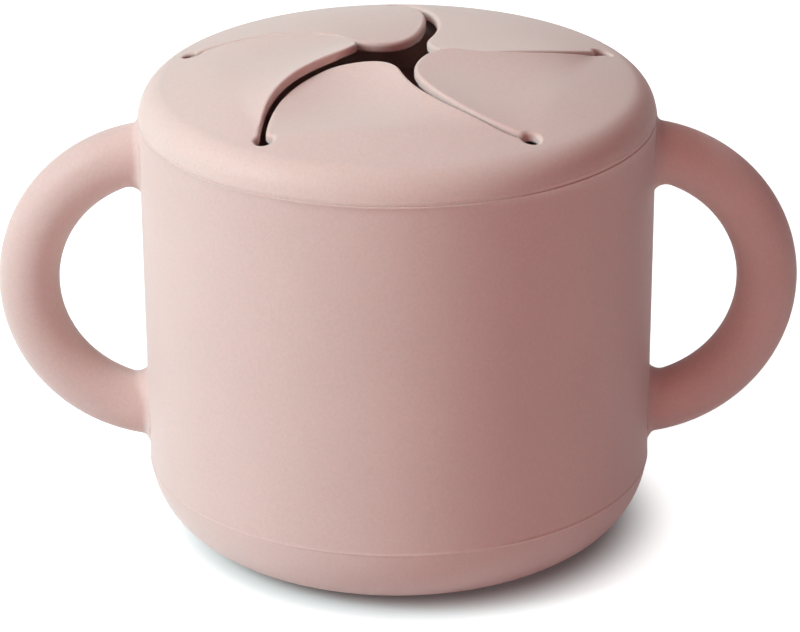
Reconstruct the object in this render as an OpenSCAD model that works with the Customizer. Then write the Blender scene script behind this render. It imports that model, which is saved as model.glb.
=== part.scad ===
// Snack container for a small child: a soft cup with two loop handles and a
// domed push-on lid. Five curved slits cut the dome into flaps that bend
// inwards and let a hand through, then close again over the food.
// Millimetres. +Z is up, X runs from handle to handle, the origin is the
// centre of the face that the cup stands on, and the front is towards -Y.

/* [Cup] */
// Outside radius where the lid meets the cup
seam_r = 44; // [40:0.5:52]
// Height of the joint between cup and lid
seam_z = 75.3; // [66:0.1:95]
// How much narrower the wall's radius is at the floor than at the seam
wall_draft = 0.6; // [0.2:0.1:2]
// Thickness of the cup's wall
cup_wall = 3; // [2.5:0.1:3.6]
// Thickness of the cup's floor over the foot recess
floor_t = 3.2; // [2:0.1:6]
// Outside radius of the rounded bottom corner
foot_corner_r = 14.2; // [10:0.1:18]
// Width of the softened corners where cup and lid meet
seam_ease = 0.35; // [0.2:0.05:0.6]
// Depth of the shallow recess under the floor
recess_depth = 0.8; // [0.4:0.1:1.5]
// Width of the flat ring that the cup stands on
foot_ring_w = 5; // [3:0.5:8]
// Height of the mould's parting line above the base
parting_z = 12.8; // [10:0.1:22]
// How far the parting line stands proud of the wall
parting_proud = 0.12; // [0.06:0.02:0.3]

/* [Rim bead] */
// Height of the bead that stands on the rim
bead_h = 1.8; // [1.4:0.1:2.2]
// Width of the bead, measured from the cup's inner face
bead_w = 1.4; // [1.2:0.1:1.6]

/* [Handles] */
// Radius of the loop's centre line
loop_r = 23.8; // [20:0.1:26]
// Height of the loop's centre
loop_z = 44.8; // [42:0.1:46]
// How far the loop reaches out from the seam's radius
loop_reach = 24.8; // [22:0.1:30]
// Thickness of the handle across its round section
grip_d = 10.4; // [9:0.1:11.4]
// Radius of the fillet where the handle flows into the wall
root_fillet = 3; // [1:0.1:4]
// Share of that fillet on the handle's front and back flanks
root_flank = 0.4; // [0:0.05:1]

/* [Lid] */
// Height of the lid's crown above the seam
lid_rise = 11.7; // [10:0.1:15]
// Radius of the lid's rounded edge
edge_r = 6; // [5.2:0.1:7]
// Thickness of the dome and of its flaps
dome_t = 1.7; // [1.2:0.1:2.2]
// Thickness of the ring that plugs into the cup
plug_t = 1.8; // [1.4:0.1:2]
// Depth of the plug below the seam
plug_depth = 6.5; // [4:0.1:10]
// Radius of the sealing rib's round section
seal_rib_r = 0.6; // [0.4:0.05:0.9]
// Clearance between the lid's plug or groove and the cup
lid_clear = 0.3; // [0.2:0.05:0.5]

/* [Flaps] */
// Radius of the circle that the tear-stop holes lie on
tear_circle_r = 37; // [35:0.1:37.6]
// Radius of one tear-stop hole
tear_hole_r = 1.5; // [1.2:0.1:1.8]
// Radius that each slit is curved to
slit_r = 30; // [26:0.5:45]
// Width of a slit
slit_w = 0.5; // [0.3:0.05:0.9]
// Radius of each flap's round tip
tip_r = 8; // [6:0.1:9]
// How much a slit opens at its outer end, so that neighbours bend freely
root_relief = 1.2; // [0.8:0.1:1.6]
// Radius of the rolled root that a flap bends about
root_roll_r = 2.2; // [1.8:0.1:2.6]

/* [Hidden] */
$fn = 96;

cup_pink = [0.86, 0.70, 0.66];
lid_pink = [0.88, 0.73, 0.69];
flap_pink = [0.90, 0.76, 0.72];

// Cup wall: a cone that opens upwards by the draft angle.
draft_angle = atan(wall_draft / seam_z);
floor_z = recess_depth + floor_t;
inner_r = seam_r - cup_wall;
inner_corner_r = foot_corner_r - cup_wall;
bead_tip_r = bead_w / 2;

// Lid dome: a crown arc that runs tangentially into the edge arc.
crown_r = (pow(seam_r, 2) - 2 * seam_r * edge_r + pow(lid_rise, 2))
          / (2 * (lid_rise - edge_r));
crown_z = seam_z + lid_rise - crown_r;
edge_x = seam_r - edge_r;
join_x = edge_x * crown_r / (crown_r - edge_r);
join_z = crown_z + (seam_z - crown_z) * crown_r / (crown_r - edge_r);
plug_r = inner_r - lid_clear;
plug_inner_r = plug_r - plug_t;

// Flaps: copies of one outline, each between two tear-stop holes.
flap_count = 5;
flap_turn = 360 / flap_count;
half_slit = slit_w / 2;
slit_lean = acos(tear_circle_r / (2 * slit_r));
slit_a = slit_r * [cos(flap_turn / 2 + slit_lean), sin(flap_turn / 2 + slit_lean)];
slit_b = slit_r * [cos(slit_lean - flap_turn / 2), sin(slit_lean - flap_turn / 2)];
tip_centre = circle_meet(slit_b, slit_r - half_slit - tip_r, slit_a, slit_r + half_slit + tip_r);
pocket_roll_r = root_roll_r + lid_clear;
hinge_x = tear_circle_r * cos(flap_turn / 2) - pocket_roll_r;
hinge_half = tear_circle_r * sin(flap_turn / 2);
hinge_z = crown_z + sqrt(pow(crown_r - dome_t / 2, 2) - pow(hinge_x, 2) - pow(hinge_half, 2) / 2);
past_tear = 1.2;
side_steps = 18;
tip_steps = 14;
over = 1;

// Handle loop
loop_x = seam_r + loop_reach - grip_d / 2 - loop_r;
loop_span = 88;
loop_rings = 36;
loop_sides = 20;
loop_top_z = seam_z - seam_ease;

// Where two circles cross, on the left of the line from p to q
function circle_meet(p, rp, q, rq) =
    let (d = norm(q - p), u = (q - p) / d)
    let (a = (rp * rp - rq * rq + d * d) / (2 * d))
    p + a * u + sqrt(rp * rp - a * a) * [-u.y, u.x];

// Outside radius of the cup's wall at a height
function wall_r(z) = seam_r - wall_draft * (1 - z / seam_z);

// Groove that the two softened corners make at the seam
module seam_groove() {
    translate([seam_r, seam_z]) rotate(45) square(seam_ease * sqrt(2), center = true);
}

// Section of a cup-shaped solid, from its centre line to a drafted wall
module cup_section(top_r, low_z, corner_r, top_z) {
    corner_x = top_r - (top_z - low_z - corner_r) * tan(draft_angle)
               - corner_r / cos(draft_angle);
    corner_z = low_z + corner_r;
    polygon([
        [0, low_z], [corner_x, low_z],
        [corner_x + corner_r * cos(draft_angle), corner_z - corner_r * sin(draft_angle)],
        [top_r, top_z], [0, top_z]
    ]);
    intersection() {
        translate([corner_x, corner_z]) circle(r = corner_r);
        translate([0, low_z]) square([top_r, 2 * corner_r]);
    }
}

// Outer form of the cup without its hollow
module cup_form() {
    rotate_extrude() cup_section(seam_r, 0, foot_corner_r, seam_z);
}

// Cup: wall, floor, foot recess, parting line and the bead on its rim
module cup_body() {
    color(cup_pink)
    rotate_extrude() {
        difference() {
            cup_section(seam_r, 0, foot_corner_r, seam_z);
            difference() {
                cup_section(inner_r, floor_z, inner_corner_r, seam_z + over);
                translate([inner_r, seam_z]) square([cup_wall, 2 * over]);
            }
            square([wall_r(0) - foot_corner_r - foot_ring_w, recess_depth]);
            seam_groove();
        }
        translate([inner_r, seam_z - over]) square([bead_w, over + bead_h - bead_tip_r]);
        translate([inner_r + bead_tip_r, seam_z + bead_h - bead_tip_r]) circle(r = bead_tip_r);
        translate([wall_r(parting_z), parting_z]) rotate(45)
            square(parting_proud * sqrt(2), center = true);
    }
}

// Handle: a round section swept round the loop, swelling into the wall
function wall_gap(t) = loop_x + loop_r * cos(t) - wall_r(loop_z + loop_r * sin(t));
function swell(gap) =
    gap >= root_fillet ? 0
    : root_fillet - sqrt(pow(root_fillet, 2) - pow(root_fillet - max(gap, 0), 2));
function loop_ring(t) =
    let (r = grip_d / 2, s = swell(wall_gap(t)))
    [for (i = [0 : loop_sides - 1])
        let (a = 360 * i / loop_sides, reach = loop_r + (r + s) * cos(a))
        [loop_x + reach * cos(t), (r + s * root_flank) * sin(a),
         min(loop_z + reach * sin(t), loop_top_z)]];

module loop_handle() {
    points = [for (k = [0 : loop_rings])
        each loop_ring(loop_span * sin(90 * (2 * k / loop_rings - 1)))];
    sides = [for (k = [0 : loop_rings - 1], i = [0 : loop_sides - 1])
        let (j = (i + 1) % loop_sides, low = k * loop_sides, high = low + loop_sides)
        [low + i, low + j, high + j, high + i]];
    ends = [
        [for (i = [loop_sides - 1 : -1 : 0]) i],
        [for (i = [0 : loop_sides - 1]) loop_rings * loop_sides + i]
    ];
    color(cup_pink)
    difference() {
        polyhedron(points, concat(sides, ends), convexity = 4);
        cup_form();
    }
}

module handle_right() { loop_handle(); }
module handle_left() { mirror([1, 0, 0]) loop_handle(); }

// Section of the dome, drawn in by an inset
module dome_section(inset) {
    turn_x = edge_x + (join_x - edge_x) * (edge_r - inset) / edge_r;
    turn_z = seam_z + (join_z - seam_z) * (edge_r - inset) / edge_r;
    polygon([
        [0, seam_z], [seam_r - inset, seam_z], [edge_x, seam_z],
        [turn_x, turn_z], [0, turn_z]
    ]);
    intersection() {
        translate([edge_x, seam_z]) circle(r = edge_r - inset);
        translate([0, seam_z]) square([seam_r, lid_rise]);
    }
    intersection() {
        translate([0, crown_z]) circle(r = crown_r - inset, $fn = 4 * $fn);
        translate([0, seam_z]) square([turn_x, lid_rise]);
    }
}

// Section of the whole lid before its flaps are cut out
module lid_section() {
    difference() {
        dome_section(0);
        intersection() {
            dome_section(dome_t);
            translate([0, seam_z]) square([plug_inner_r, lid_rise]);
        }
        translate([inner_r - lid_clear, seam_z])
            square([bead_w + 2 * lid_clear, bead_h + lid_clear - bead_tip_r]);
        translate([inner_r + bead_tip_r, seam_z + bead_h - bead_tip_r])
            circle(r = bead_tip_r + lid_clear);
        seam_groove();
    }
    translate([plug_inner_r, seam_z - plug_depth + plug_t / 2])
        square([plug_t, plug_depth - plug_t / 2 + over]);
    translate([plug_inner_r + plug_t / 2, seam_z - plug_depth + plug_t / 2])
        circle(r = plug_t / 2);
    translate([plug_r + lid_clear / 2 - seal_rib_r, seam_z - plug_depth / 2])
        circle(r = seal_rib_r);
}

// Plan of one flap about +X: a curved side from a tear-stop hole to the
// round tip, and one back to the next hole. A spare widens it all round.
function heading(from, to) = atan2(to.y - from.y, to.x - from.x);
function arc(centre, r, from, to, steps) =
    [for (i = [0 : steps]) let (a = from + (to - from) * i / steps) centre + r * [cos(a), sin(a)]];

module flap_plan(spare) {
    tear_a = tear_circle_r * [cos(flap_turn / 2), sin(flap_turn / 2)];
    tear_b = tear_circle_r * [cos(flap_turn / 2), -sin(flap_turn / 2)];
    in_a = heading(slit_a, tip_centre);
    in_b = heading(tip_centre, slit_b) - 180;
    past_a = past_tear * (heading(slit_a, tear_a) - in_a);
    past_b = past_tear * (heading(slit_b, tear_b) - in_b);
    polygon(concat(
        arc(slit_b, slit_r + spare, in_b + past_b, in_b, side_steps),
        arc(tip_centre, tip_r + half_slit + spare, in_b, in_a - 180, tip_steps),
        [for (i = [0 : side_steps]) let (a = in_a + past_a * i / side_steps)
            slit_a + (slit_r - spare + root_relief * pow(i / side_steps, 2)) * [cos(a), sin(a)]]
    ));
}

// Everything inwards of the hinge line, and the roll about that line
module root_bound(roll_r) {
    translate([-slit_r, -slit_r, seam_z]) cube([slit_r + hinge_x, 2 * slit_r, lid_rise + over]);
    translate([hinge_x, slit_r, hinge_z]) rotate([90, 0, 0]) cylinder(r = roll_r, h = 2 * slit_r);
}

module tear_hole(angle) {
    rotate(angle) translate([tear_circle_r, 0, seam_z]) cylinder(r = tear_hole_r, h = lid_rise + over);
}

// One flap, turned to the direction that it hangs from
module flap(direction) {
    color(flap_pink)
    rotate(direction)
    difference() {
        intersection() {
            translate([0, 0, seam_z]) linear_extrude(lid_rise + over) flap_plan(-half_slit);
            root_bound(root_roll_r);
            rotate_extrude() dome_section(0);
        }
        rotate_extrude() dome_section(dome_t);
        tear_hole(flap_turn / 2);
        tear_hole(-flap_turn / 2);
    }
}

// Lid: dome edge, groove for the rim bead, plug and the roots of the flaps
module lid_rim() {
    color(lid_pink)
    difference() {
        rotate_extrude() lid_section();
        for (k = [0 : flap_count - 1]) rotate(270 + flap_turn * k) {
            intersection() {
                translate([0, 0, seam_z]) linear_extrude(lid_rise + over) flap_plan(half_slit);
                root_bound(pocket_roll_r);
            }
            tear_hole(flap_turn / 2);
        }
        translate([0, 0, seam_z]) cylinder(r = norm(tip_centre) + tip_r, h = lid_rise + over);
    }
}

module flap_front() { flap(270); }
module flap_right() { flap(270 + flap_turn); }
module flap_rear_right() { flap(270 + 2 * flap_turn); }
module flap_rear_left() { flap(270 + 3 * flap_turn); }
module flap_left() { flap(270 + 4 * flap_turn); }

cup_body();
handle_left();
handle_right();
lid_rim();
flap_front();
flap_right();
flap_rear_right();
flap_rear_left();
flap_left();
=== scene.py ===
# Snack container for a small child, in matte dusty-pink silicone: a cup with
# two loop handles and a domed push-on lid that curved slits cut into flaps.
# Lengths of the container are in millimetres and become metres in finish_mesh.
import math

import bmesh
import bpy
from mathutils import Matrix, Vector


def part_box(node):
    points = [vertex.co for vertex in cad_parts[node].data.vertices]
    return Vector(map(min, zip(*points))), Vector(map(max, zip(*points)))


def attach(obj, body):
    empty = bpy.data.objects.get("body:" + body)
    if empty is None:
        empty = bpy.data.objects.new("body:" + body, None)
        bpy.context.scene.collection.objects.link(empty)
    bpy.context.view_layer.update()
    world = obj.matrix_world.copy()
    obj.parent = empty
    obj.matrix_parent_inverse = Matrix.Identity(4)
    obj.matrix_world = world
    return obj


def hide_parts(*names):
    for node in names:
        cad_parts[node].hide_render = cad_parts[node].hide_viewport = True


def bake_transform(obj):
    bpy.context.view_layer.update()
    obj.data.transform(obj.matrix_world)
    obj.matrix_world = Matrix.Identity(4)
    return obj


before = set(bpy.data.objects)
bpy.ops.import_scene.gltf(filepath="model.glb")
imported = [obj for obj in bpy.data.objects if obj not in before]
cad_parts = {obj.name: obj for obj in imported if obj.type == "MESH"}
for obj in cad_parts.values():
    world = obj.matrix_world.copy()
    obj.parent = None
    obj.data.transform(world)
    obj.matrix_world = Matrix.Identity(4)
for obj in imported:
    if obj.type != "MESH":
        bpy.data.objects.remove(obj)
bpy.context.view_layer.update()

MM = 0.001
TAU = 2 * math.pi

# Steps of a full turn, a multiple of 20 so that the flaps meet the lid's edge
# point for point
RING_STEPS = 280

# ---------------------------------------------------------------- sizes

SEAM_R = 1000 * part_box("lid_rim")[1].x
HANDLE_REACH = 1000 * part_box("handle_right")[1].x
SEAM_Z = 75.3

# Cup, with the bead on its rim and the fine lip that shows at the seam
WALL_DRAFT = 0.6
CUP_WALL = 3.0
FLOOR_T = 3.2
FOOT_CORNER_R = 14.2
FOOT_RING_W = 5.0
RECESS_DEPTH = 0.8
PARTING_Z = 12.8
PARTING_PROUD = 0.12
LIP_R = 0.2
LIP_PROUD = 0.14
LIP_FOOT_Z = SEAM_Z - 2.3 * LIP_R
BEAD_H = 1.8
BEAD_W = 1.4
BEAD_EASE = 0.15

# Lid, with the plug that fits into the cup and the groove over the bead
LID_RISE = 11.7
LID_EASE = 0.12
LAND_H = 0.7
EDGE_R = 6.0
DOME_T = 1.7
PLUG_T = 1.8
PLUG_DEPTH = 6.5
SEAL_RIB_R = 0.6
LID_CLEAR = 0.3

# Handles, each a round bar along an arc, with fillets where it meets the wall
LOOP_R = 23.8
LOOP_Z = 44.8
GRIP_D = 10.4
LOOP_X = HANDLE_REACH - GRIP_D / 2 - LOOP_R
LOOP_SWEEP = math.radians(84)
INNER_FILLET = 3.0
FLANK_FILLET = 1.3

# Flaps, each with its direction from the middle in degrees, anticlockwise from +X
FLAPS = {
    "flap_front": 270,
    "flap_right": 342,
    "flap_rear_right": 54,
    "flap_rear_left": 126,
    "flap_left": 198,
}
FLAP_TURN = math.radians(72)
TEAR_CIRCLE_R = 37.0
TEAR_HOLE_R = 1.5
SLIT_R = 30.0
HALF_SLIT = 0.25
ROOT_RELIEF = 0.5
TIP_R = 8.0
TEAR_CORNER_R = 1.3
FLAP_END_R = 39.74
RIM_ROUND = 0.7
UNDER_ROUND = 0.35

# How each soft flap rests, in millimetres at its tip: a bend and a lift, a twist
# and a cupping as they are 10 mm to the side, then a pull towards the flap's root
# and a swing to one side
REST_SHAPE = {
    "flap_front": (6.05, -4.96, 4.52, 2.62, -0.08, -0.56),
    "flap_right": (2.21, -0.72, 2.96, 1.71, 0.37, 0.64),
    "flap_rear_right": (0.92, -1.89, -0.71, 0.39, -0.14, -0.33),
    "flap_rear_left": (-1.36, 0.21, 0.47, 0.29, 0.84, 2.05),
    "flap_left": (2.2, -0.55, 4.05, 2.16, 0.4, 0.04),
}
REST_START = 29.5
REST_END = 6.0

# Silicone: two pinks, the scales of its mottling and its powdery grain, counted
# per metre, and the depth of the grain in millimetres
CUP_PINK = (0.585, 0.445, 0.412)
LID_PINK = (0.62, 0.50, 0.46)
CLOUD_SCALE = 45
POWDER_SCALE = 2000
TONE_SPREAD = 0.08
GRAIN_STRENGTH = 0.5
GRAIN_DEPTH = 0.04

# Studio: lamps and floor in metres, the place of the floor's painted shadow in millimetres
LAMP_AWAY = 1.1
LIT_Z = 0.045
FLOOR_HALF = 4
# The matte that the camera sees on the floor is tinted cool, so that it cancels the red cast of the
# lamps in its shadow
FLOOR_SEEN = (0.33, 0.38, 0.385, 1)
FLOOR_BOUNCE = (0.7, 0.7, 0.7, 1)
FILL_COLOUR = (1.0, 0.4, 0.4, 1)
FILL_STRENGTH = 0.04
# Painted shadow: the floor's glow fades out towards the foot, round a middle shifted to the right,
# and keeps the lift at its darkest
PAINTED_SHADOW_SHIFT = 3
PAINTED_SHADOW_START = 32.5
PAINTED_SHADOW_END = 47
PAINTED_SHADOW_LIFT = 0.05

# Lid dome: a crown arc that runs tangentially into the edge arc
CROWN_R = (SEAM_R**2 - 2 * SEAM_R * EDGE_R + LID_RISE**2) / (2 * (LID_RISE - EDGE_R))
CROWN_Z = SEAM_Z + LID_RISE - CROWN_R
EDGE_X = SEAM_R - EDGE_R
EDGE_ANGLE = math.asin(EDGE_X / (CROWN_R - EDGE_R))
INNER_R = SEAM_R - CUP_WALL
PLUG_R = INNER_R - LID_CLEAR
PLUG_INNER_R = PLUG_R - PLUG_T


def dome_z(r, inset=0.0):
    return CROWN_Z + math.sqrt((CROWN_R - inset) ** 2 - r * r)


def wall_r(z):
    return SEAM_R - WALL_DRAFT * (1 - z / SEAM_Z)


# ---------------------------------------------------------------- mesh helpers

def arc(centre, radius, start, end, steps):
    """Points on an arc, with its angles in radians from +X."""
    return [
        (centre[0] + radius * math.cos(a), centre[1] + radius * math.sin(a))
        for a in (start + (end - start) * i / steps for i in range(steps + 1))
    ]


def line(start, end, steps):
    return [
        (start[0] + (end[0] - start[0]) * i / steps, start[1] + (end[1] - start[1]) * i / steps)
        for i in range(steps + 1)
    ]


def turned(profile, closed):
    """A solid of revolution from (r, z) points."""
    bm = bmesh.new()
    verts = [bm.verts.new((r, 0, z)) for r, z in profile]
    pairs = list(zip(verts, verts[1:])) + ([(verts[-1], verts[0])] if closed else [])
    edges = [bm.edges.new(pair) for pair in pairs]
    bmesh.ops.spin(
        bm, geom=verts + edges, cent=(0, 0, 0), axis=(0, 0, 1), dvec=(0, 0, 0),
        angle=TAU, steps=RING_STEPS, use_merge=True, use_duplicate=False,
    )
    bmesh.ops.remove_doubles(bm, verts=bm.verts, dist=1e-4)
    return bm


def finish_mesh(name, bm, material, sharp=40):
    """Turns the mesh into a named piece in metres, outward and smooth."""
    bmesh.ops.recalc_face_normals(bm, faces=bm.faces)
    bmesh.ops.scale(bm, verts=bm.verts, vec=(MM, MM, MM))
    mesh = bpy.data.meshes.new(name)
    bm.to_mesh(mesh)
    bm.free()
    mesh.materials.append(material)
    mesh.shade_smooth()
    mesh.set_sharp_from_angle(angle=math.radians(sharp))
    piece = bpy.data.objects.new(name, mesh)
    bpy.context.scene.collection.objects.link(piece)
    return piece


# ---------------------------------------------------------------- material

def silicone(name, colour):
    """Matte silicone with a fine powdery grain and slow, faint mottling."""
    material = bpy.data.materials.new(name)
    material.use_nodes = True
    nodes, links = material.node_tree.nodes, material.node_tree.links
    shader = nodes["Principled BSDF"]
    shader.inputs["IOR"].default_value = 1.41
    shader.inputs["Specular IOR Level"].default_value = 0.25
    shader.inputs["Sheen Weight"].default_value = 0.5
    shader.inputs["Sheen Roughness"].default_value = 0.8
    shader.inputs["Sheen Tint"].default_value = (1.0, 0.96, 0.95, 1.0)
    shader.inputs["Subsurface Weight"].default_value = 0.2
    shader.inputs["Subsurface Scale"].default_value = 0.0012
    shader.inputs["Subsurface Radius"].default_value = (1.0, 0.35, 0.25)
    place = nodes.new("ShaderNodeTexCoord")

    def noise(scale, detail, roughness=0.5):
        node = nodes.new("ShaderNodeTexNoise")
        node.inputs["Scale"].default_value = scale
        node.inputs["Detail"].default_value = detail
        node.inputs["Roughness"].default_value = roughness
        links.new(place.outputs["Object"], node.inputs["Vector"])
        return node

    def mapped(source, low, high):
        node = nodes.new("ShaderNodeMapRange")
        node.inputs["From Min"].default_value = 0.3
        node.inputs["From Max"].default_value = 0.7
        node.inputs["To Min"].default_value = low
        node.inputs["To Max"].default_value = high
        links.new(source, node.inputs["Value"])
        return node.outputs["Result"]

    powder = noise(POWDER_SCALE, 3, 0.7)
    cloud = noise(CLOUD_SCALE, 4)
    tone = nodes.new("ShaderNodeMix")
    tone.data_type = "RGBA"
    tone.inputs["A"].default_value = [c * (1 - TONE_SPREAD) for c in colour] + [1]
    tone.inputs["B"].default_value = [c * (1 + TONE_SPREAD) for c in colour] + [1]
    both = nodes.new("ShaderNodeMath")
    both.operation = "ADD"
    links.new(mapped(cloud.outputs["Fac"], 0.0, 0.3), both.inputs[0])
    links.new(mapped(powder.outputs["Fac"], 0.0, 0.7), both.inputs[1])
    links.new(both.outputs[0], tone.inputs["Factor"])
    links.new(tone.outputs["Result"], shader.inputs["Base Color"])
    links.new(mapped(cloud.outputs["Fac"], 0.45, 0.52), shader.inputs["Roughness"])

    bump = nodes.new("ShaderNodeBump")
    bump.inputs["Strength"].default_value = GRAIN_STRENGTH
    bump.inputs["Distance"].default_value = GRAIN_DEPTH * MM
    links.new(powder.outputs["Fac"], bump.inputs["Height"])
    links.new(bump.outputs["Normal"], shader.inputs["Normal"])
    return material


# ---------------------------------------------------------------- cup

DRAFT = math.atan(WALL_DRAFT / SEAM_Z)
CORNER_X = SEAM_R - (SEAM_Z - FOOT_CORNER_R) * math.tan(DRAFT) - FOOT_CORNER_R / math.cos(DRAFT)


def outer_r(z):
    """Outside radius of the cup, on its rounded corner or on its wall."""
    if z >= FOOT_CORNER_R:
        return wall_r(z)
    return CORNER_X + math.sqrt(FOOT_CORNER_R**2 - (FOOT_CORNER_R - z) ** 2)


def parting_line():
    """The fine raised line that the mould leaves round the foot."""
    shape = [(-0.5, 0), (-0.2, 0), (-0.1, 0.8), (0, 1), (0.1, 0.8), (0.2, 0)]
    return [
        (outer_r(PARTING_Z + dz) + share * PARTING_PROUD, PARTING_Z + dz) for dz, share in shape
    ]


def cup_profile():
    """Section of the cup from under its floor, over the rim, to its inside."""
    foot_inner = CORNER_X - FOOT_RING_W
    step = RECESS_DEPTH / 2
    points = line((0, RECESS_DEPTH), (foot_inner - 2 * step, RECESS_DEPTH), 12)
    points += arc((foot_inner - 2 * step, step), step, TAU / 4, 0, 5)[1:]
    points += arc((foot_inner, step), step, TAU / 2, 3 * TAU / 4, 5)[1:]
    points += line((foot_inner, 0), (CORNER_X, 0), 6)[1:]
    below_line = PARTING_Z - 0.9
    low_angle = math.asin((below_line - FOOT_CORNER_R) / FOOT_CORNER_R)
    points += arc((CORNER_X, FOOT_CORNER_R), FOOT_CORNER_R, -TAU / 4, low_angle, 34)[1:]
    points += parting_line()
    points += [(outer_r(z), z) for z in (PARTING_Z + 0.6, FOOT_CORNER_R)]
    wall_start = FOOT_CORNER_R + 1
    points += line((wall_r(wall_start), wall_start), (wall_r(LIP_FOOT_Z), LIP_FOOT_Z), 44)
    points += arc((SEAM_R + LIP_PROUD - LIP_R, SEAM_Z - LIP_R), LIP_R, -1.0, TAU / 4, 7)
    bead_tip = BEAD_W / 2
    bead_x = INNER_R + BEAD_W
    points += [(bead_x + BEAD_EASE, SEAM_Z), (bead_x, SEAM_Z + BEAD_EASE)]
    points += arc((INNER_R + bead_tip, SEAM_Z + BEAD_H - bead_tip), bead_tip, 0, TAU / 2, 12)
    inner_corner = FOOT_CORNER_R - CUP_WALL
    floor_z = RECESS_DEPTH + FLOOR_T
    corner_z = floor_z + inner_corner
    inner_low = INNER_R - WALL_DRAFT * (1 - corner_z / SEAM_Z)
    points += line((INNER_R, SEAM_Z), (inner_low, corner_z), 36)
    points += arc((inner_low - inner_corner, corner_z), inner_corner, 0, -TAU / 4, 18)[1:]
    points += line((inner_low - inner_corner, floor_z), (0, floor_z), 12)[1:]
    return points


def make_cup(material):
    piece = finish_mesh("cup", turned(cup_profile(), closed=False), material, sharp=60)
    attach(piece, "cup")
    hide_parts("cup_body")


def fillet(gap, radius):
    """How far a surface swells at a gap from the wall that it flows into."""
    if gap >= radius:
        return 0.0
    return radius - math.sqrt(radius**2 - (radius - max(gap, 0.0)) ** 2)


def flow_into_wall(vert):
    """Moves one point of the bar outwards where the bar meets the wall, and
    keeps it below the lip at the seam."""
    around = math.atan2(vert.co.z, vert.co.x)
    centre = Vector((LOOP_R * math.cos(around), 0, LOOP_R * math.sin(around)))
    out = vert.co - centre
    if out.length < 1e-6:
        return
    inward = max(0.0, -out.normalized().dot(centre.normalized()))
    radius = FLANK_FILLET + (INNER_FILLET - FLANK_FILLET) * inward**2
    gap = math.hypot(vert.co.x + LOOP_X, vert.co.y) - wall_r(vert.co.z + LOOP_Z)
    vert.co = centre + out * (1 + fillet(gap, radius) / out.length)
    vert.co.z = min(vert.co.z, LIP_FOOT_Z - LOOP_Z)


def make_handle(name, side, material):
    """A round bar turned round the loop's centre, filleted into the wall."""
    bm = bmesh.new()
    ring = bmesh.ops.create_circle(bm, radius=GRIP_D / 2, segments=64)["verts"]
    bmesh.ops.translate(bm, verts=ring, vec=(LOOP_R, 0, 0))
    bmesh.ops.rotate(bm, verts=ring, cent=(0, 0, 0), matrix=Matrix.Rotation(LOOP_SWEEP, 3, "Y"))
    bmesh.ops.spin(
        bm, geom=bm.verts[:] + bm.edges[:], cent=(0, 0, 0), axis=(0, 1, 0), dvec=(0, 0, 0),
        angle=-2 * LOOP_SWEEP, steps=200, use_merge=False, use_duplicate=False,
    )
    bmesh.ops.holes_fill(bm, edges=[e for e in bm.edges if e.is_boundary], sides=0)
    for vert in bm.verts:
        flow_into_wall(vert)
    bmesh.ops.translate(bm, verts=bm.verts, vec=(LOOP_X, 0, LOOP_Z))
    bmesh.ops.scale(bm, verts=bm.verts, vec=(side, 1, 1))
    piece = finish_mesh(name + "_grip", bm, material, sharp=60)
    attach(piece, "cup")
    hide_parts(name)


# ---------------------------------------------------------------- lid

def lid_edge_profile():
    """Section of the lid's edge: dome shoulder, seam land, groove and plug."""
    points = [(FLAP_END_R, dome_z(FLAP_END_R))]
    shoulder_end = 0.12
    points += arc((EDGE_X, SEAM_Z), EDGE_R, TAU / 4 - EDGE_ANGLE, shoulder_end, 26)
    points += line((SEAM_R, SEAM_Z + LAND_H), (SEAM_R, SEAM_Z + LID_EASE), 2)
    points += arc((SEAM_R - LID_EASE, SEAM_Z + LID_EASE), LID_EASE, 0, -TAU / 4, 4)[1:]
    bead_tip = BEAD_W / 2
    groove_out = INNER_R + BEAD_W + LID_CLEAR
    groove_in = INNER_R - LID_CLEAR
    groove_tip = bead_tip + LID_CLEAR
    points += [(groove_out + BEAD_EASE, SEAM_Z), (groove_out, SEAM_Z + BEAD_EASE)]
    points += arc((INNER_R + bead_tip, SEAM_Z + BEAD_H - bead_tip), groove_tip, 0, TAU / 2, 12)
    rib_z = SEAM_Z - PLUG_DEPTH / 2
    points += [(groove_in, SEAM_Z), (PLUG_R, rib_z + SEAL_RIB_R)]
    points += arc((PLUG_R + LID_CLEAR / 2 - SEAL_RIB_R, rib_z), SEAL_RIB_R, 1.0, -1.0, 10)
    low = SEAM_Z - PLUG_DEPTH + PLUG_T / 2
    points += [(PLUG_R, rib_z - SEAL_RIB_R)]
    points += arc((PLUG_R - PLUG_T / 2, low), PLUG_T / 2, 0, -TAU / 2, 14)
    ledge = dome_z(PLUG_INNER_R, DOME_T)
    points += line((PLUG_INNER_R, low + 0.3), (PLUG_INNER_R, ledge), 8)
    points += [(FLAP_END_R, dome_z(FLAP_END_R, DOME_T))]
    return points


def make_lid_edge(material):
    piece = finish_mesh("lid_edge", turned(lid_edge_profile(), closed=True), material, sharp=50)
    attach(piece, "lid")
    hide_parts("lid_rim")


def polar(r, angle):
    return Vector((r * math.cos(angle), r * math.sin(angle)))


def heading(start, end):
    return math.atan2(end.y - start.y, end.x - start.x)


def circle_meet(p, rp, q, rq):
    """Where two circles cross, on the left of the line from p to q."""
    gap = (q - p).length
    along = (q - p) / gap
    a = (rp * rp - rq * rq + gap * gap) / (2 * gap)
    return p + a * along + math.sqrt(rp * rp - a * a) * Vector((-along.y, along.x))


def sweep(centre, radius, start, end, turn, spacing):
    """Points on an arc that turns one way, +1 for anticlockwise, from start to end."""
    travel = (end - start) * turn % TAU * turn
    steps = max(4, round(abs(travel) * radius / spacing))
    return [centre + polar(radius, start + travel * i / steps) for i in range(steps + 1)]


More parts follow.
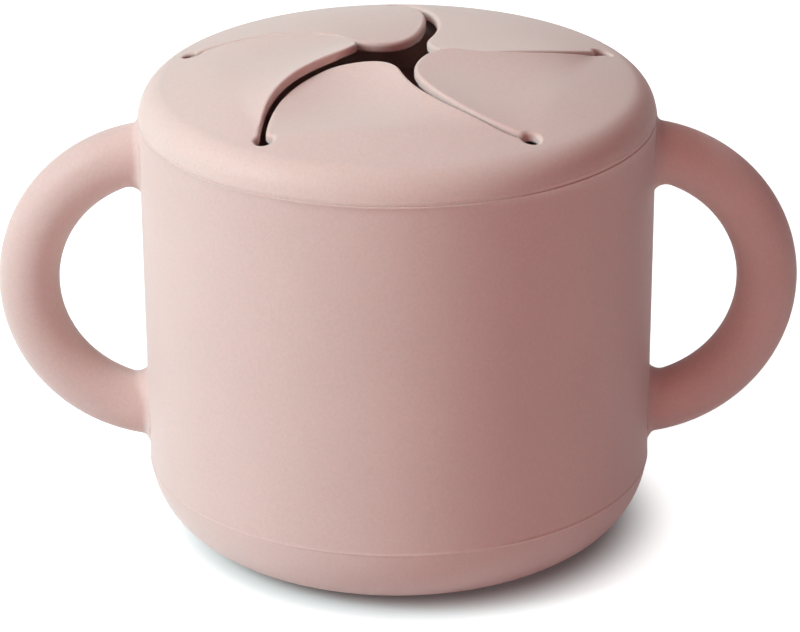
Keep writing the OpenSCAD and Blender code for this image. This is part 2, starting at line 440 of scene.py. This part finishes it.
def flap_outline():
    """Plan of one flap about +X, anticlockwise: its rim from tear hole to tear
    hole round its tip, then a border well outside the lid's edge."""
    half_turn = FLAP_TURN / 2
    lean = math.acos(TEAR_CIRCLE_R / (2 * SLIT_R))
    hole_a = polar(TEAR_CIRCLE_R, half_turn)
    hole_b = polar(TEAR_CIRCLE_R, -half_turn)
    slit_b = polar(SLIT_R, lean - half_turn)
    radius_b = SLIT_R - HALF_SLIT
    slit_a = polar(SLIT_R, half_turn + lean)
    shift = ROOT_RELIEF / (1 - math.cos(math.pi - 2 * lean))
    centre_a = slit_a + polar(shift, heading(slit_a, hole_a))
    radius_a = SLIT_R + HALF_SLIT + ROOT_RELIEF - shift
    tip = circle_meet(slit_b, radius_b - TIP_R, centre_a, radius_a + TIP_R)
    reach = TEAR_HOLE_R + TEAR_CORNER_R
    corner_b = circle_meet(hole_b, reach, slit_b, radius_b - TEAR_CORNER_R)
    corner_a = circle_meet(hole_a, reach, centre_a, radius_a + TEAR_CORNER_R)
    beyond = math.radians(80)
    fine, coarse = 0.2, 0.45
    arcs = (
        (hole_b, TEAR_HOLE_R, -half_turn - beyond, heading(hole_b, corner_b), 1, fine),
        (corner_b, TEAR_CORNER_R, heading(corner_b, hole_b), heading(slit_b, corner_b), -1, fine),
        (slit_b, radius_b, heading(slit_b, corner_b), heading(slit_b, tip), -1, coarse),
        (tip, TIP_R, heading(slit_b, tip), heading(tip, centre_a), -1, coarse),
        (centre_a, radius_a, heading(centre_a, tip), heading(centre_a, corner_a), 1, coarse),
        (corner_a, TEAR_CORNER_R, heading(corner_a, centre_a), heading(corner_a, hole_a), -1, fine),
        (hole_a, TEAR_HOLE_R, heading(hole_a, corner_a), half_turn + beyond, 1, fine),
    )
    points = []
    for centre, radius, start, end, turn, spacing in arcs:
        points += sweep(centre, radius, start, end, turn, spacing)[1:]
    wide = half_turn + math.radians(12)
    border_r = FLAP_END_R + 4
    points += sweep(Vector((0, 0)), border_r, wide, -wide, -1, 2.0)
    return points[::-1]


def rest_shift(x, y, shape):
    """How far a point of a soft flap about +X rests from the even dome."""
    bend, lift, twist, cupping, pull, swing = shape
    share = max(0.0, (REST_START - x) / (REST_START - REST_END))
    across = y / 10
    height = bend * share**2 + share * (lift + twist * across + cupping * across**2)
    return Vector((pull * share**2, swing * share**2, height))


def cut_grid(bm, face, low, high, spacing):
    """Cuts a flat face along straight lines in X and in Y."""
    geom = [face] + list(face.edges) + list(face.verts)
    for axis in (0, 1):
        normal = Vector((1 - axis, axis, 0))
        for i in range(math.ceil((high - low) / spacing)):
            place = normal * (low + i * spacing)
            cut = bmesh.ops.bisect_plane(bm, geom=geom, dist=1e-5, plane_co=place, plane_no=normal)
            geom = cut["geom"]


def flap_plan():
    """The flap's plan about +X as a flat mesh with a ring of faces along its rim,
    trimmed to the straight borders and to the circle where the lid's edge begins."""
    bm = bmesh.new()
    face = bm.faces.new([bm.verts.new((p.x, p.y, 0)) for p in flap_outline()])
    bm.normal_update()
    rim_w = RIM_ROUND + 0.08
    bmesh.ops.inset_region(
        bm, faces=[face], thickness=rim_w, use_boundary=True, use_even_offset=True
    )
    cut_grid(bm, face, -FLAP_END_R, FLAP_END_R, spacing=1.1)
    half_turn = FLAP_TURN / 2
    for side in (1, -1):
        across_border = Vector((-math.sin(half_turn), side * math.cos(half_turn), 0))
        trim(bm, (0, 0, 0), across_border)
    steps = round(FLAP_TURN / TAU * RING_STEPS)
    for i in range(steps):
        out = polar(1, half_turn * (2 * i + 1 - steps) / steps).to_3d()
        trim(bm, out * FLAP_END_R * math.cos(half_turn / steps), out)
    return bm


def trim(bm, place, outward):
    """Cuts off what lies outside a line, only near the flap's outer border."""
    near = [f for f in bm.faces if f.calc_center_median().length > TEAR_CIRCLE_R - 1]
    geom = {part for f in near for part in [f, *f.edges, *f.verts]}
    bmesh.ops.bisect_plane(
        bm, geom=list(geom), dist=1e-5, plane_co=place, plane_no=outward, clear_outer=True
    )


def is_rim(edge):
    """Whether an outline edge of the plan lies on the flap's free rim."""
    middle = (edge.verts[0].co + edge.verts[1].co) / 2
    if middle.length > FLAP_END_R - 0.02:
        return False
    on_border = abs(abs(math.atan2(middle.y, middle.x)) - FLAP_TURN / 2) < 1e-4
    return edge.is_boundary and not (on_border and middle.length > TEAR_CIRCLE_R)


def flap_plate(plan, shape):
    """A flap about +X as a curved plate, with its upper and its lower rim edges."""
    bm = plan.copy()
    rim = bm.edges.layers.int.new("rim")
    for edge in bm.edges:
        edge[rim] = is_rim(edge)
    grown = bmesh.ops.extrude_face_region(bm, geom=list(bm.faces))["geom"]
    under = {v for v in grown if isinstance(v, bmesh.types.BMVert)}
    for vert in bm.verts:
        x, y = vert.co.x, vert.co.y
        inset = DOME_T if vert in under else 0
        vert.co = Vector((x, y, dome_z(math.hypot(x, y), inset))) + rest_shift(x, y, shape)
    rims = [e for e in bm.edges if e[rim] and (e.verts[0] in under) == (e.verts[1] in under)]
    top_rim = [e for e in rims if e.verts[0] not in under]
    under_rim = [e for e in rims if e.verts[0] in under]
    return bm, top_rim, under_rim


def round_off(bm, edges, radius, segments):
    bmesh.ops.bevel(
        bm, geom=edges, offset=radius, offset_type="OFFSET", segments=segments, profile=0.5,
        affect="EDGES", clamp_overlap=False, material=-1,
    )


def make_flap(name, direction, plan, material):
    """One flap with the sector of the dome that it hangs from."""
    bm, top_rim, under_rim = flap_plate(plan, REST_SHAPE[name])
    round_off(bm, under_rim, UNDER_ROUND, 3)
    round_off(bm, top_rim, RIM_ROUND, 7)
    turn = Matrix.Rotation(math.radians(direction), 3, "Z")
    bmesh.ops.rotate(bm, verts=bm.verts, cent=(0, 0, 0), matrix=turn)
    piece = finish_mesh(name + "_leaf", bm, material, sharp=50)
    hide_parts(name)
    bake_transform(piece)


# ---------------------------------------------------------------- studio

def make_camera():
    """The photograph's view: 23 degrees down, from the front."""
    focal_px = 4329
    picture_w = 800
    data = bpy.data.cameras.new("camera")
    data.sensor_width = 36
    data.lens = focal_px / picture_w * data.sensor_width
    data.clip_start = 0.01
    camera = bpy.data.objects.new("camera", data)
    bpy.context.scene.collection.objects.link(camera)
    elevation = math.radians(23.0)
    distance = 0.75
    aim = Vector((0.00029, 0, 0.03768))
    spot = aim + distance * Vector((0, -math.cos(elevation), math.sin(elevation)))
    tilt = Matrix.Rotation(TAU / 4 - elevation, 4, "X")
    roll = Matrix.Rotation(math.radians(-0.27), 4, "Z")
    camera.matrix_world = Matrix.Translation(spot) @ tilt @ roll
    bpy.context.scene.camera = camera


def show_plain_colours():
    bpy.context.scene.view_settings.view_transform = "Standard"


def softbox(name, azimuth, elevation, size, watts, colour):
    """A square area light aimed at the middle of the container. Azimuth 0 is the
    front and 90 the right."""
    data = bpy.data.lights.new(name, "AREA")
    data.shape = "SQUARE"
    data.size = size
    data.energy = watts
    data.color = colour
    lamp = bpy.data.objects.new(name, data)
    bpy.context.scene.collection.objects.link(lamp)
    az, el = math.radians(azimuth), math.radians(elevation)
    away = Vector((math.sin(az) * math.cos(el), -math.cos(az) * math.cos(el), math.sin(el)))
    middle = Vector((0, 0, LIT_Z))
    facing = away.to_track_quat("Z", "Y").to_matrix().to_4x4()
    lamp.matrix_world = Matrix.Translation(middle + LAMP_AWAY * away) @ facing


def shown_to_camera(nodes, links, lit, shown):
    """Shows one look to the camera, reflections and glass, and lights with another."""
    path = nodes.new("ShaderNodeLightPath")
    seen = path.outputs["Is Camera Ray"]
    for kind in ("Is Glossy Ray", "Is Transmission Ray"):
        either = nodes.new("ShaderNodeMath")
        either.operation = "MAXIMUM"
        links.new(seen, either.inputs[0])
        links.new(path.outputs[kind], either.inputs[1])
        seen = either.outputs[0]
    mix = nodes.new("ShaderNodeMixShader")
    links.new(seen, mix.inputs[0])
    links.new(lit, mix.inputs[1])
    links.new(shown, mix.inputs[2])
    return mix.outputs[0]


def make_world():
    """A weak warm fill light, with plain white behind the container."""
    world = bpy.data.worlds.new("studio")
    world.use_nodes = True
    bpy.context.scene.world = world
    nodes, links = world.node_tree.nodes, world.node_tree.links
    fill = nodes["Background"]
    fill.inputs["Color"].default_value = FILL_COLOUR
    fill.inputs["Strength"].default_value = FILL_STRENGTH
    white = nodes.new("ShaderNodeBackground")
    white.inputs["Color"].default_value = (1, 1, 1, 1)
    output = nodes["World Output"]
    links.new(
        shown_to_camera(nodes, links, fill.outputs[0], white.outputs[0]), output.inputs["Surface"]
    )


def matte(nodes, colour):
    shader = nodes.new("ShaderNodeBsdfDiffuse")
    shader.inputs["Color"].default_value = colour
    return shader.outputs[0]


def make_floor():
    """A plain floor. As the camera, reflections and glass see it, it glows white
    further out and fades close to the foot into a painted shadow, shifted to the
    right, over the real shadow of its matte. The light that it throws back comes
    from a plain matte surface."""
    bm = bmesh.new()
    bmesh.ops.create_grid(bm, x_segments=1, y_segments=1, size=FLOOR_HALF)
    mesh = bpy.data.meshes.new("floor")
    bm.to_mesh(mesh)
    bm.free()
    floor = bpy.data.objects.new("floor", mesh)
    bpy.context.scene.collection.objects.link(floor)
    material = bpy.data.materials.new("white_sweep")
    material.use_nodes = True
    nodes, links = material.node_tree.nodes, material.node_tree.links
    nodes.remove(nodes["Principled BSDF"])
    place = nodes.new("ShaderNodeTexCoord")
    reach = nodes.new("ShaderNodeVectorMath")
    reach.operation = "DISTANCE"
    reach.inputs[1].default_value = (PAINTED_SHADOW_SHIFT * MM, 0, 0)
    links.new(place.outputs["Object"], reach.inputs[0])
    # Painted shadow: the glow fades from full strength further out to the lift near the foot
    painted_shadow_ramp = nodes.new("ShaderNodeMapRange")
    painted_shadow_ramp.interpolation_type = "SMOOTHSTEP"
    painted_shadow_ramp.inputs["From Min"].default_value = PAINTED_SHADOW_START * MM
    painted_shadow_ramp.inputs["From Max"].default_value = PAINTED_SHADOW_END * MM
    painted_shadow_ramp.inputs["To Min"].default_value = PAINTED_SHADOW_LIFT
    links.new(reach.outputs["Value"], painted_shadow_ramp.inputs["Value"])
    painted_shadow_glow = nodes.new("ShaderNodeEmission")
    links.new(painted_shadow_ramp.outputs["Result"], painted_shadow_glow.inputs["Strength"])
    both = nodes.new("ShaderNodeAddShader")
    links.new(matte(nodes, FLOOR_SEEN), both.inputs[0])
    links.new(painted_shadow_glow.outputs[0], both.inputs[1])
    output = nodes["Material Output"]
    bounce = matte(nodes, FLOOR_BOUNCE)
    links.new(shown_to_camera(nodes, links, bounce, both.outputs[0]), output.inputs["Surface"])
    mesh.materials.append(material)


# ---------------------------------------------------------------- assembly

make_camera()
show_plain_colours()
make_world()
make_floor()
softbox("key", azimuth=-68, elevation=34, size=0.4, watts=10.9, colour=(0.8, 1, 1))
softbox("front", azimuth=-8, elevation=15, size=0.8, watts=3.9, colour=(1, 0.38, 0.37))
softbox("top", azimuth=-115, elevation=62, size=0.9, watts=5.2, colour=(1, 0.72, 0.66))
softbox("right", azimuth=60, elevation=30, size=0.8, watts=0.7, colour=(1, 0.2, 0.2))

cup_silicone = silicone("cup_silicone", CUP_PINK)
lid_silicone = silicone("lid_silicone", LID_PINK)

make_cup(cup_silicone)
make_handle("handle_right", 1, cup_silicone)
make_handle("handle_left", -1, cup_silicone)
make_lid_edge(lid_silicone)
plan = flap_plan()
for flap, flap_direction in FLAPS.items():
    make_flap(flap, flap_direction, plan, lid_silicone)
